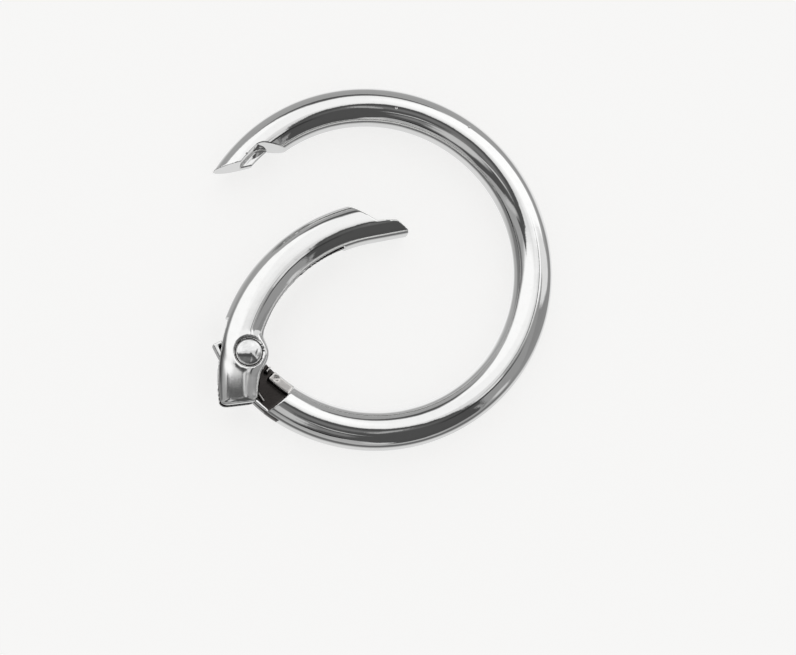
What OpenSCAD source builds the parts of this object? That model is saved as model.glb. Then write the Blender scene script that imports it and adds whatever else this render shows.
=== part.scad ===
// Spring gate ring: a ring of round bar with a hinged gate that opens inward.
// The body is cast in one piece: the long arc of the bar, a notch at the nose end and a thin
// tongue with an open pocket at the hinge end. The gate is a cast channel whose two cheeks
// straddle the tongue, held by a rivet, and a torsion spring coiled round the rivet shuts it.
// The ring lies in the XY plane with its centre at the origin and its mid-plane at Z = 0.
// Everything is laid out as it stands with the gate shut, then the gate is swung open.

/* [Ring] */
// Inner diameter of the ring
ring_inner_d = 25; // [23:0.5:32]
// Diameter of the round bar
bar_d = 3.4; // [3.2:0.1:4]
// Angle of the hinge pivot round the ring, from +X
pivot_deg = 216.3; // [200:1:230]
// Angle from the pivot to the slanted face of the body's nose
gate_span = 72.5; // [64:0.5:84]
// How far the gate stands open
gate_open = 45; // [0:1:60]

/* [Hinge] */
// How far the pivot lies inside the centre line of the bar
pivot_inset = 0.9; // [0.7:0.05:1.1]
// Thickness of the tongue between the cheeks
tongue_t = 1.6; // [1.4:0.1:1.8]
// Play between the tongue and each cheek
cheek_play = 0.08; // [0.05:0.01:0.12]
// Length of the tongue past the pivot, along the bar
tongue_reach = 2.1; // [1.9:0.1:2.4]
// How far the outer face of the tongue drops below the bar at its tip
tongue_drop = 0.4; // [0.2:0.1:0.5]
// Distance from the pivot to the seat where the full bar begins, along the bar
seat_reach = 5; // [4.8:0.1:5.6]
// Radius of the hollow end face of the bar at the seat
seat_arc_r = 6.2; // [5.8:0.1:7]
// Gap between the tail of the gate and the seat
tail_gap = 0.5; // [0.4:0.05:0.7]
// Gap between the tip of the tongue and the web of the gate
tip_gap = 0.3; // [0.25:0.05:0.5]
// Radius of the ears of the cheeks round the pivot
ear_r = 1.77; // [1.7:0.01:1.9]
// Height of the ears from the mid-plane
ear_h = 1.45; // [1.4:0.05:1.5]
// Rounding of the tail's outer corner
tail_round = 0.6; // [0.4:0.1:0.8]
// Rounding of the tail's inner corner
tail_inner_round = 0.35; // [0.2:0.05:0.5]

/* [Spring pocket] */
// Thickness of the pocket's floor
floor_t = 0.42; // [0.35:0.01:0.5]
// Radius of the tongue's eye round the pivot
eye_r = 1.6; // [1.5:0.05:1.65]
// Thickness of the rim along the outer edge of the pocket
rim_t = 0.36; // [0.3:0.02:0.42]
// Thickness of the wall at the tip of the tongue
tip_wall = 0.3; // [0.25:0.05:0.4]
// Height at which the tip wall starts, outward from the centre line of the bar
tip_wall_start = 0.5; // [0.4:0.05:0.6]
// Width of the inner wall of the pocket, across the bar
block_w = 0.95; // [0.8:0.05:1]
// Radius round the pivot that is kept clear of the inner wall
block_clear_r = 2.7; // [2.6:0.05:2.9]
// Radius of the thin rib that stops the coil
rib_r = 2.1; // [2.05:0.05:2.15]
// Thickness of the rib
rib_t = 0.15; // [0.12:0.01:0.2]
// Diameter of the shallow dimple on the inner wall
dimple_d = 0.5; // [0.4:0.05:0.6]
// Depth of the dimple
dimple_depth = 0.12; // [0.08:0.02:0.2]

/* [Gate] */
// How far the inside of the gate stands in from the bar's inner face
gate_proud = 0.3; // [0.2:0.05:0.35]
// How far the inside of the tail stands in from the bar's inner face
tail_proud = 0.7; // [0.6:0.05:0.8]
// Thickness of the web along the outer side of the channel
web_t = 1; // [0.9:0.05:1.1]
// Thickness of the channel's walls, front and back
channel_wall = 0.85; // [0.8:0.05:0.95]
// Length of the channel from the web's hinge end, along the bar
channel_len = 11.8; // [10:0.2:13]

/* [Nose] */
// Lean of the joint between nose and gate, from the radius
joint_lean = 52; // [46:1:56]
// Gap between the slanted faces of the joint
joint_gap = 0.45; // [0.3:0.05:0.5]
// Rounding of the gate's outer corner at the joint
joint_round = 1; // [0.8:0.1:1.2]
// Reach of the lip past the joint, to the centre of its rounded tip
lip_reach = 2.4; // [2.2:0.1:2.6]
// Drop of the lip's top below the centre line of the bar
lip_drop = 0.4; // [0.3:0.05:0.5]
// Radius of the lip's tip
lip_tip_r = 0.35; // [0.3:0.05:0.4]
// Distance of the tip's centre from the inside of the gate's bar
lip_tip_rise = 0.6; // [0.55:0.05:0.7]
// Slope of the cut from the lip's top down to its tip
lip_slope = 33; // [28:1:40]
// Length of the straight run of the gate before the joint
lip_lead = 0.95; // [0.8:0.05:1.1]
// Gap between the lip and its notch in the body
lip_gap = 0.5; // [0.3:0.05:0.6]
// Rounding of the notch's inmost corner
notch_round = 1.1; // [0.9:0.1:1.3]
// Height of the ledge that guides the lip, below the mid-plane
ledge_z = 0.8; // [0.7:0.05:0.9]
// Width of the ledge, inward from the notch's seat
ledge_w = 0.7; // [0.6:0.05:0.8]
// Gap between the lip and the ledge's edge
ledge_gap = 0.22; // [0.2:0.02:0.3]

/* [Rivet and spring] */
// Diameter of the rivet's shank
rivet_d = 1.3; // [1.2:0.05:1.4]
// Running clearance of the shank in the tongue, on the radius
rivet_play = 0.04; // [0.02:0.01:0.06]
// Clearance of the shank in the cheeks, on the radius
cheek_fit = 0.01; // [0.01:0.01:0.03]
// Diameter of the rivet's heads
head_d = 2.26; // [2.1:0.02:2.4]
// Gap round each head in its recess
head_gap = 0.15; // [0.1:0.01:0.17]
// Height of the recess floor from the mid-plane
recess_z = 1.28; // [1.25:0.01:1.32]
// Height of a head's straight edge
head_edge = 0.1; // [0.05:0.01:0.15]
// Diameter of the spring's wire
spring_wire_d = 0.32; // [0.28:0.01:0.34]
// Mean radius of the spring's coil
coil_r = 1.18; // [1.1:0.01:1.2]
// Whole turns of the coil with the gate shut
coil_turns = 2; // [1:1:2]
// Length of the spring's leg in the gate
gate_leg = 5; // [4:0.5:6]
// Lean of the gate's leg, inward from the tangent at the pivot
gate_leg_lean = 10; // [8:1:12]
// Length of the spring's leg in the body's pocket
body_leg = 4; // [3:0.1:4]

/* [Hidden] */
$fn = 96;

bar_r = bar_d / 2;
ring_r = ring_inner_d / 2 + bar_r;
outer_r = ring_r + bar_r;
past = 1;

// Angles round the ring, worked out from lengths along the centre line of the bar.
seat_deg = pivot_deg + along(seat_reach);
tail_deg = seat_deg - along(tail_gap);
tip_deg = pivot_deg - along(tongue_reach);
web_deg = tip_deg - along(tip_gap);
channel_deg = web_deg - along(channel_len);
joint_deg = pivot_deg - gate_span;
lead_deg = joint_deg + along(lip_lead);
lip_deg = joint_deg - along(lip_reach);
wide_deg = pivot_deg - along(ear_r / 3);
nose_deg = joint_deg + along(bar_d);

// Hinge.
pivot = at(ring_r - pivot_inset, pivot_deg);
tongue_h = tongue_t / 2;
slot_h = tongue_h + cheek_play;
channel_h = bar_r - channel_wall;
floor_z = floor_t - tongue_h;
slot_half_w = sqrt(bar_r * bar_r - slot_h * slot_h);
tail_outer_r = ring_r + slot_half_w;
tail_inner_r = ring_r - tail_proud - slot_half_w;
tongue_shift = tongue_drop / sin(seat_deg - tip_deg);
seat_arc_centre = at(ring_r, seat_deg - 2 * asin(seat_arc_r / 2 / ring_r));
rivet_r = rivet_d / 2;

// Nose: the notch is rounded, by a circle that bites a little into its seat and into the end wall
// that clears the swinging lip.
lip_top_r = ring_r - lip_drop;
lip_tip = at(ring_r - bar_r - gate_proud + lip_tip_rise, lip_deg);
lip_run = lip_lead + lip_reach + bar_r;
notch_r = lip_top_r + lip_gap;
notch_wall_r = norm(lip_tip - pivot) + lip_tip_r + lip_gap;
notch_bite = 0.02;
notch_inset = notch_round - notch_bite;
notch_mid_r = notch_r - notch_inset;
notch_mid = at(notch_mid_r, pivot_deg - opposite(notch_wall_r - notch_inset, notch_mid_r, norm(pivot)));
notch_deg = heading(notch_mid, pivot);
ledge_r = notch_r - ledge_w;
joint_dir = joint_deg + joint_lean;

// Spring: with the gate shut the coil makes whole turns, and it winds up as the gate opens.
wire_r = spring_wire_d / 2;
coil_play = 0.04;
spring_z = floor_z + wire_r + coil_play;
spring_pitch = spring_wire_d + coil_play;
coil_sweep = 360 * coil_turns + gate_leg_lean + gate_open;
coil_steps = 70;
wire_sides = 10;

// Point at a radius and an angle.
function at(r, deg) = [r * cos(deg), r * sin(deg)];

// Angle covered by a length along the centre line of the bar.
function along(len) = len / ring_r * 180 / PI;

// Direction of p as seen from q.
function heading(p, q) = atan2(p[1] - q[1], p[0] - q[0]);

// Angle of a triangle opposite its side a, between the sides b and c.
function opposite(a, b, c) = acos((b * b + c * c - a * a) / (2 * b * c));

// Point on the circle r round the ring's centre that a line from p in direction deg runs out to.
function run_to(p, deg, r) =
    let (b = p * at(1, deg))
    p + (sqrt(b * b - p * p + r * r) - b) * at(1, deg);

// Plan of the slice of a disc round c between two angles less than 90 apart.
module slice(c, from_deg, to_deg, reach) {
    translate(c)
        polygon([[0, 0], at(reach, from_deg), at(1.3 * reach, (from_deg + to_deg) / 2), at(reach, to_deg)]);
}

// A plan raised to a slab between two heights.
module slab(low, high) {
    translate([0, 0, low])
        linear_extrude(height = high - low)
            children();
}

// Section of the bar, standing off the ring's axis and thickened inward by proud.
module bar_section(proud) {
    translate([ring_r, 0])
        circle(r = bar_r);
    if (proud > 0) {
        translate([ring_r - proud, 0])
            circle(r = bar_r);
        translate([ring_r - proud, -bar_r])
            square([proud, bar_d]);
    }
}

// The bar swept round the ring between two angles.
module bar(from_deg, to_deg, proud) {
    rotate([0, 0, from_deg])
        rotate_extrude(angle = to_deg - from_deg)
            bar_section(proud);
}

// Plan of what is left outside a fillet: r is its radius, centre its centre, and the outline runs
// from the centre round the sharp corner and back.
module corner_cut(centre, r, outline) {
    difference() {
        polygon(concat([centre], outline));
        translate(centre)
            circle(r = r);
    }
}

// A cylinder on the pivot's axis.
module on_pivot(r, low, high) {
    translate([pivot[0], pivot[1], low])
        cylinder(r = r, h = high - low);
}

// --- Nose ---

// Plan of the ground past the slanted joint: away along its normal on the hinge's side for side 1,
// starting at back from the face of the body, and on the nose's side for side -1.
module joint_plan(side, back) {
    reach = ring_r / 2;
    translate(at(ring_r, joint_deg))
        rotate([0, 0, joint_dir])
            translate([-reach, side > 0 ? back : back - reach])
                square([2 * reach, reach]);
}

// Plan of the lip: level with its top, then cut down to the rounded tip.
module lip_plan() {
    back = 2 * bar_d;
    translate(lip_tip)
        circle(r = lip_tip_r);
    intersection() {
        circle(r = lip_top_r);
        translate(lip_tip)
            rotate([0, 0, lip_deg - 90 - lip_slope])
                translate([-back, lip_tip_r - back])
                    square([back, back]);
    }
}

// Plan of the notch: under its seat, round its corner and down the wall that clears the lip.
module notch_plan() {
    translate(notch_mid)
        circle(r = notch_round);
    intersection() {
        circle(r = notch_r);
        slice([0, 0], heading(notch_mid, [0, 0]), joint_deg + 30, outer_r + past);
    }
    intersection() {
        translate(pivot)
            circle(r = notch_wall_r);
        slice(pivot, notch_deg - 20, notch_deg, notch_wall_r + past);
    }
}

// The notch, with the ledge left standing at the back.
module notch() {
    slab(-ledge_z, bar_r + past)
        notch_plan();
    slab(-bar_r - past, -ledge_z + past / 2)
        intersection() {
            notch_plan();
            circle(r = ledge_r);
        }
}

// What the gate gives up past the joint, all but its lip.
module lip_cut() {
    slab(-bar_r - past, bar_r + past)
        difference() {
            joint_plan(-1, joint_gap);
            lip_plan();
        }
    slab(-bar_r - past, cheek_play - ledge_z)
        difference() {
            joint_plan(-1, joint_gap);
            circle(r = ledge_r - ledge_gap);
        }
}

// Rounds the gate's outer corner at the joint.
module joint_corner_cut() {
    across = at(1, joint_dir + 90);
    start = at(ring_r, joint_deg) + (joint_gap + joint_round) * across;
    centre = run_to(start, joint_dir, outer_r - joint_round);
    touch = centre - joint_round * across;
    slab(-bar_r - past, bar_r + past)
        corner_cut(centre, joint_round,
            [touch, touch + at(bar_d, joint_dir), at(outer_r + past, atan2(centre[1], centre[0]))]);
}

// --- Hinge end of the body ---

// Plan of the tongue's outer face, taken in by inset: the ring's outline, slid round so that it
// meets the bar at the seat and drops away toward the tip.
module tongue_face(inset) {
    translate(at(tongue_shift, seat_deg + 90))
        circle(r = outer_r - inset);
}

// Plan of the space in front of the seat's hollow face.
module seat_plan() {
    translate(seat_arc_centre)
        circle(r = seat_arc_r);
}

// Plan of the wall along the inner side of the pocket, rounded round the pivot.
module block_plan() {
    difference() {
        intersection() {
            circle(r = ring_inner_d / 2 + block_w);
            slice([0, 0], pivot_deg, seat_deg + 5, outer_r);
        }
        translate(pivot)
            circle(r = block_clear_r);
    }
}

// Plan of the thin rib between the coil and the inner wall.
module rib_plan() {
    intersection() {
        difference() {
            translate(pivot)
                circle(r = rib_r + rib_t);
            translate(pivot)
                circle(r = rib_r);
        }
        circle(r = ring_r - pivot_inset - rib_t);
        slice([0, 0], pivot_deg, seat_deg, outer_r);
    }
}

// Plan of the pocket, open at the tongue's inner side and at its tip where the spring's leg swings.
module pocket_plan() {
    difference() {
        intersection() {
            tongue_face(rim_t);
            seat_plan();
            slice([0, 0], tip_deg + along(tip_wall), seat_deg + 5, outer_r);
        }
        block_plan();
        rib_plan();
    }
    intersection() {
        circle(r = ring_r + tip_wall_start);
        slice([0, 0], tip_deg - 5, pivot_deg, outer_r);
    }
}

// Clears the bar down to the tongue in front of the seat.
module tongue_cut() {
    slab(tongue_h, bar_r + past)
        seat_plan();
    slab(-bar_r - past, -tongue_h)
        seat_plan();
    slab(-bar_r, bar_r)
        difference() {
            seat_plan();
            tongue_face(0);
        }
}

module dimple() {
    mid_deg = (pivot_deg + seat_deg) / 2 + along(block_w);
    translate(at(ring_inner_d / 2 + block_w / 2, mid_deg))
        translate([0, 0, tongue_h - dimple_depth])
            cylinder(d = dimple_d, h = past);
}

module ring_body() {
    color("silver")
        difference() {
            union() {
                difference() {
                    bar(tip_deg, nose_deg + 360, 0);
                    tongue_cut();
                    slab(-bar_r - past, bar_r + past)
                        joint_plan(1, 0);
                    notch();
                }
                on_pivot(eye_r, -tongue_h, floor_z);
            }
            slab(floor_z, bar_r)
                pocket_plan();
            dimple();
            on_pivot(rivet_r + rivet_play, -bar_r, bar_r);
        }
}

// --- Gate ---

// The gate's bar as it stands shut: wide at the tail, then round the ring, then a straight lip.
module gate_bar() {
    bar(lead_deg, wide_deg, gate_proud);
    bar(wide_deg, tail_deg, tail_proud);
    rotate([0, 0, lead_deg])
        rotate([90, 0, 0])
            linear_extrude(height = lip_run)
                bar_section(gate_proud);
    on_pivot(ear_r, -ear_h, ear_h);
}

// The slot between the cheeks, and the channel under the web.
module channel() {
    slab(-slot_h, slot_h)
        slice([0, 0], web_deg, tail_deg + 10, outer_r + past);
    slab(-channel_h, channel_h)
        intersection() {
            circle(r = outer_r - web_t);
            slice([0, 0], channel_deg, web_deg + 1, outer_r);
        }
}

// Rounds the two corners of the tail, in plan.
module tail_corner_cut() {
    outer_mid_r = tail_outer_r - tail_round;
    outer_mid_deg = tail_deg - asin(tail_round / outer_mid_r);
    inner_mid_r = tail_inner_r + tail_inner_round;
    inner_mid_deg = tail_deg - asin(tail_inner_round / inner_mid_r);
    slab(-bar_r - past, bar_r + past) {
        corner_cut(at(outer_mid_r, outer_mid_deg), tail_round,
            [at(outer_mid_r * cos(tail_deg - outer_mid_deg), tail_deg),
            at(outer_r + past, tail_deg + 1),
            at(outer_r + past, outer_mid_deg)]);
        corner_cut(at(inner_mid_r, inner_mid_deg), tail_inner_round,
            [at(inner_mid_r * cos(tail_deg - inner_mid_deg), tail_deg),
            at(tail_inner_r - past, tail_deg + 1),
            at(tail_inner_r - past, inner_mid_deg)]);
    }
}

module rivet_seats() {
    on_pivot(rivet_r + cheek_fit, -bar_r, bar_r);
    on_pivot(head_d / 2 + head_gap, recess_z, bar_r + past);
    on_pivot(head_d / 2 + head_gap, -bar_r - past, -recess_z);
}

// Swings what is drawn shut to where the gate stands.
module swing_open() {
    translate(pivot)
        rotate([0, 0, -gate_open])
            translate(-pivot)
                children();
}

module gate() {
    color("gainsboro")
        swing_open()
            difference() {
                gate_bar();
                channel();
                lip_cut();
                joint_corner_cut();
                tail_corner_cut();
                rivet_seats();
            }
}

// --- Rivet ---

// A domed head, seated at Z = 0 and flush with the crown of the bar.
module rivet_head() {
    head_r = head_d / 2;
    rise = bar_r - recess_z - head_edge;
    dome_r = (head_r * head_r + rise * rise) / (2 * rise);
    cylinder(r = head_r, h = head_edge);
    translate([0, 0, head_edge])
        intersection() {
            translate([0, 0, rise - dome_r])
                sphere(r = dome_r);
            cylinder(r = head_r, h = rise + past);
        }
}

module rivet() {
    color("lightgray")
        translate([pivot[0], pivot[1], 0]) {
            translate([0, 0, -recess_z])
                cylinder(r = rivet_r, h = 2 * recess_z);
            translate([0, 0, recess_z])
                rivet_head();
            translate([0, 0, -recess_z])
                rotate([180, 0, 0])
                    rivet_head();
        }
}

// --- Spring ---

// Point of the coil's centre line after turning by sweep from the outer side of the pivot.
function coil_point(sweep) =
    let (p = pivot + at(coil_r, pivot_deg - sweep))
    [p[0], p[1], spring_z + spring_pitch * sweep / 360];

// Straight leg's far end, from the coil at sweep; way is 1 along the wind and -1 against it.
function leg_end(sweep, length, way) =
    let (d = at(way * length, pivot_deg - sweep - 90))
    coil_point(sweep) + [d[0], d[1], 0];

// Level direction of the wire after turning by sweep.
function wire_dir(sweep) = at(1, pivot_deg - sweep - 90);

// One ring of points round the wire at p, square to the level direction d.
function wire_ring(p, d) =
    [for (side = [0 : wire_sides - 1])
        let (turn = 360 * side / wire_sides)
        p + wire_r * [-d[1] * cos(turn), d[0] * cos(turn), sin(turn)]];

module spring() {
    sweeps = [for (step = [0 : coil_steps]) coil_sweep * step / coil_steps];
    rings = concat(
        [wire_ring(leg_end(0, body_leg, -1), wire_dir(0))],
        [for (sweep = sweeps) wire_ring(coil_point(sweep), wire_dir(sweep))],
        [wire_ring(leg_end(coil_sweep, gate_leg, 1), wire_dir(coil_sweep))]);
    last = len(rings) - 1;
    n = wire_sides;
    sides = [for (ring = [0 : last - 1], side = [0 : n - 1])
        [ring * n + side, ring * n + (side + 1) % n, (ring + 1) * n + (side + 1) % n, (ring + 1) * n + side]];
    near_end = [[for (side = [n - 1 : -1 : 0]) side]];
    far_end = [[for (side = [0 : n - 1]) last * n + side]];
    color("dimgray")
        polyhedron(points = [for (ring = rings) each ring], faces = concat(sides, near_end, far_end));
}

ring_body();
gate();
rivet();
spring();
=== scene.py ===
"""Looks of the spring gate ring: plated castings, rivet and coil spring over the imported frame.

Sizes are in millimetres, and the bench turns them into metres. Both castings are modelled as they
stand with the gate shut; the gate is then swung open to where the frame has it.
"""

import logging
import math
from dataclasses import dataclass, field
from enum import Enum
from typing import Callable, Optional, Sequence

import bmesh
import bpy
from mathutils import Matrix, Vector


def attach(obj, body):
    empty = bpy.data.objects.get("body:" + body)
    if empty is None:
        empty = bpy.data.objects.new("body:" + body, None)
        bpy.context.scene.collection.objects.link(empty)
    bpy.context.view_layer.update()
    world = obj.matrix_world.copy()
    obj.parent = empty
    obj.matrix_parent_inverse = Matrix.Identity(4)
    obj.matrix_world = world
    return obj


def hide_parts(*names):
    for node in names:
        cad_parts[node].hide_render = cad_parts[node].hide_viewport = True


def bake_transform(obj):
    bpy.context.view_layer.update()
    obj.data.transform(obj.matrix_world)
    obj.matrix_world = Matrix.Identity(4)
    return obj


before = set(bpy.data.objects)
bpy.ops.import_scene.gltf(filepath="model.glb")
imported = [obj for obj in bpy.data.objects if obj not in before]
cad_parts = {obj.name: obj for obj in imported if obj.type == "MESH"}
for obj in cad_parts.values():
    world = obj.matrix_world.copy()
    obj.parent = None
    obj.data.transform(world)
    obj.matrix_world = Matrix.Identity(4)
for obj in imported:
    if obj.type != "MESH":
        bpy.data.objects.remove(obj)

log = logging.getLogger("spring_gate_ring")
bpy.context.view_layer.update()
MM = 0.001

Point = tuple[float, float]
Span = tuple[float, float]
Place = tuple[float, float, float]
Colour = tuple[float, float, float, float]
Pick = Callable[[Vector], bool]
FacePick = Callable[[Vector, Vector], bool]
Solid = bpy.types.Object
Socket = bpy.types.NodeSocket
Node = bpy.types.Node
Outputs = bpy.types.NodeOutputs
Tree = bpy.types.NodeTree
Material = bpy.types.Material

CENTRE: Point = (0.0, 0.0)
# Radii inside and outside all of the bar.
INSIDE, OUTSIDE = 9.0, 24.0
# Heights of cutters: right through the bar, through such a cutter, and through both.
THROUGH, BEYOND, FARTHER = (-3.0, 3.0), (-4.0, 4.0), (-5.0, 5.0)
# Step that keeps two cutters' faces from falling together.
SLIVER = 0.001
# Sides of a wide round block, and of a narrow one.
FINE, SMALL = 720, 96


class Join(Enum):
    """How one solid acts on another."""

    UNITE = "UNION"
    CUT = "DIFFERENCE"
    KEEP = "INTERSECT"


def at(radius: float, deg: float) -> Point:
    """Returns the plan point at a radius and an angle round the ring's centre."""
    turn = math.radians(deg)
    return radius * math.cos(turn), radius * math.sin(turn)


def shifted(point: Point, other: Point, share: float = 1.0) -> Point:
    """Returns point moved by a share of other."""
    return point[0] + share * other[0], point[1] + share * other[1]


def heading(point: Point, seen_from: Point = CENTRE) -> float:
    """Returns the direction, in degrees, of a point seen from another."""
    return math.degrees(math.atan2(point[1] - seen_from[1], point[0] - seen_from[0]))


def opposite(a: float, b: float, c: float) -> float:
    """Returns the angle, in degrees, opposite side a of a triangle with sides a, b and c."""
    return math.degrees(math.acos((b * b + c * c - a * a) / (2 * b * c)))


def arc(centre: Point, radius: float, start: float, end: float, steps: int) -> list[Point]:
    """Returns points along an arc.

    Args:
        centre: middle of the arc.
        radius: its radius.
        start: first angle, in degrees.
        end: last angle, in degrees.
        steps: number of chords.
    """
    return [shifted(centre, at(radius, start + (end - start) * i / steps)) for i in range(steps + 1)]


def sector(start: float, end: float, radius: float = 30.0, steps: int = 4) -> list[Point]:
    """Returns the outline of a slice of the plan between two angles round the ring's centre."""
    return [CENTRE] + arc(CENTRE, radius, start, end, steps)


def panel(foot: Point, deg: float, start: float, end: float, width: float) -> list[Point]:
    """Returns the outline of a rectangle along a ray.

    Args:
        foot: where the ray starts.
        deg: its direction, in degrees.
        start: distance along it to the first corner.
        end: distance along it to the second corner.
        width: how far the other corners stand to the ray's left.
    """
    ends = [shifted(foot, at(reach, deg)) for reach in (start, end)]
    return ends + [shifted(end, at(width, deg + 90)) for end in reversed(ends)]


def past(half: float) -> tuple[Span, Span]:
    """Returns the heights of two cutters, above and below a slab round the middle plane."""
    return (half, THROUGH[1]), (THROUGH[0], -half)


class Bench:
    """Modelling moves, each done with Blender's own tools."""

    @staticmethod
    def clear() -> None:
        """Deselects everything."""
        bpy.ops.object.select_all(action="DESELECT")

    @staticmethod
    def take(obj: Solid) -> None:
        """Makes one object the only selected and active one."""
        Bench.clear()
        obj.select_set(True)
        bpy.context.view_layer.objects.active = obj

    @staticmethod
    def settle(obj: Solid) -> Solid:
        """Puts an object's place, turn and scale into its mesh."""
        Bench.take(obj)
        bpy.ops.object.transform_apply(location=True, rotation=True, scale=True)
        return obj

    @staticmethod
    def add(primitive: Callable[..., object], **settings: object) -> Solid:
        """Adds a primitive, puts its place into its mesh and returns it.

        Args:
            primitive: the operator that adds it.
            settings: what the operator is told.
        """
        Bench.clear()
        primitive(**settings)
        return Bench.settle(bpy.context.object)

    @staticmethod
    def modify(obj: Solid, kind: str, **settings: object) -> None:
        """Applies one modifier.

        Args:
            obj: the object that is changed.
            kind: the modifier's type.
            settings: attributes to set on it.
        """
        Bench.take(obj)
        step = obj.modifiers.new("step", kind)
        for name, value in settings.items():
            setattr(step, name, value)
        bpy.ops.object.modifier_apply(modifier=step.name)

    @staticmethod
    def edit(obj: Solid, work: Callable[..., object], pick: Pick = lambda v: True, **settings: object) -> None:
        """Runs a move in edit mode on the vertices that a test picks.

        Args:
            obj: the object to edit.
            work: the operator, or the moves, to run.
            pick: test on a vertex's place, in metres; without one, all are picked.
            settings: what the operator is told.
        """
        Bench.take(obj)
        bpy.ops.object.mode_set(mode="EDIT")
        bpy.ops.mesh.select_mode(type="VERT")
        bpy.ops.mesh.select_all(action="DESELECT")
        mesh = bmesh.from_edit_mesh(obj.data)
        for vert in mesh.verts:
            vert.select_set(pick(vert.co))
        mesh.select_flush(True)
        bmesh.update_edit_mesh(obj.data)
        work(**settings)
        bpy.ops.object.mode_set(mode="OBJECT")

    @staticmethod
    def extrude(step: Sequence[float]) -> None:
        """Extrudes what is selected in edit mode."""
        bpy.ops.mesh.extrude_region_move(TRANSFORM_OT_translate={"value": Vector(step) * MM})

    @staticmethod
    def spin(obj: Solid, steps: int, angle: float) -> None:
        """Spins an outline round the ring's axis, through an angle in radians."""
        Bench.edit(obj, bpy.ops.mesh.spin, steps=steps, angle=angle, center=(0, 0, 0), axis=(0, 0, 1))

    @staticmethod
    def drum(centre: Point, radius: float, span: Span = THROUGH, sides: int = 256) -> Solid:
        """Adds an upright round block and returns it.

        Args:
            centre: plan place of its axis.
            radius: its radius.
            span: its lowest and greatest height.
            sides: number of sides.
        """
        low, high = span
        return Bench.add(
            bpy.ops.mesh.primitive_cylinder_add, vertices=sides, radius=radius * MM, depth=(high - low) * MM,
            location=(centre[0] * MM, centre[1] * MM, (low + high) / 2 * MM),
        )

    @staticmethod
    def drawn(places: Sequence[Place], fill: str) -> Solid:
        """Adds a disc, draws the points of its rim out to given places and returns it.

        Args:
            places: the new places, in order.
            fill: how the disc is filled.
        """
        obj = Bench.add(bpy.ops.mesh.primitive_circle_add, vertices=len(places), radius=MM, fill_type=fill)
        for vert, place in zip(obj.data.vertices, places):
            vert.co = Vector(place) * MM
        return obj

    @staticmethod
    def prism(outline: Sequence[Point], span: Span = THROUGH) -> Solid:
        """Adds an upright block with any outline and returns it.

        Args:
            outline: plan points in order.
            span: its lowest and greatest height.
        """
        low, high = span
        obj = Bench.drawn([(x, y, low) for x, y in outline], "NGON")

        def work() -> None:
            """Extrudes the outline and points the faces outward."""
            Bench.extrude((0, 0, high - low))
            bpy.ops.mesh.select_all(action="SELECT")
            bpy.ops.mesh.normals_make_consistent(inside=False)

        Bench.edit(obj, work)
        return obj

    @staticmethod
    def join(target: Solid, how: Join, *tools: Solid) -> Solid:
        """Lets solids act on another, one after another, and returns it; they are used up.

        Args:
            target: the solid that is changed.
            how: unite, cut or keep the common part.
            tools: the solids that act on it.
        """
        for tool in tools:
            Bench.modify(target, "BOOLEAN", operation=how.value, solver="EXACT", object=tool)
            bpy.data.objects.remove(tool)
        return target

    @staticmethod
    def copy(obj: Solid) -> Solid:
        """Returns a copy of an object, with its own mesh."""
        twin = obj.copy()
        twin.data = obj.data.copy()
        bpy.context.scene.collection.objects.link(twin)
        return twin

    @staticmethod
    def scale(obj: Solid, factor: float) -> None:
        """Scales an object's mesh about the origin."""
        obj.scale = (factor, factor, factor)
        Bench.settle(obj)

    @staticmethod
    def soften(obj: Solid, face: float, rounds: int) -> None:
        """Renews a solid's skin in even small faces and relaxes it, which rounds every edge as a casting's.

        Args:
            obj: the solid.
            face: size of the new faces.
            rounds: times that the skin is relaxed.
        """
        Bench.scale(obj, 1 / MM)
        Bench.modify(obj, "REMESH", mode="VOXEL", voxel_size=face)
        Bench.modify(obj, "SMOOTH", factor=0.5, iterations=rounds)
        Bench.scale(obj, MM)

    @staticmethod
    def slice(obj: Solid, deg: float, keep_beyond: bool) -> None:
        """Cuts an object open at a plane through the ring's axis.

        Args:
            obj: the object, which lies on one side of the axis.
            deg: the plane's angle.
            keep_beyond: keeps the side at greater angles.
        """
        normal = (*at(1, deg + 90), 0)
        Bench.edit(
            obj, bpy.ops.mesh.bisect, plane_co=(0, 0, 0), plane_no=normal, use_fill=True,
            clear_inner=keep_beyond, clear_outer=not keep_beyond, threshold=1e-8,
        )

    @staticmethod
    def polish(obj: Solid, name: str, angle: float = 62.0, merge: float = 0.004) -> Solid:
        """Merges doubles, points faces outward, shades, names and returns the piece.

        Args:
            obj: the object.
            name: its name.
            angle: sharpest edge that is shaded smooth, in degrees.
            merge: distance within which vertices are merged.
        """
        def work() -> None:
            """Cleans the mesh in edit mode."""
            bpy.ops.mesh.remove_doubles(threshold=merge * MM)
            bpy.ops.mesh.normals_make_consistent(inside=False)

        Bench.edit(obj, work)
        Bench.take(obj)
        bpy.ops.object.shade_smooth_by_angle(angle=math.radians(angle))
        obj.name = obj.data.name = name
        return obj


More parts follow.
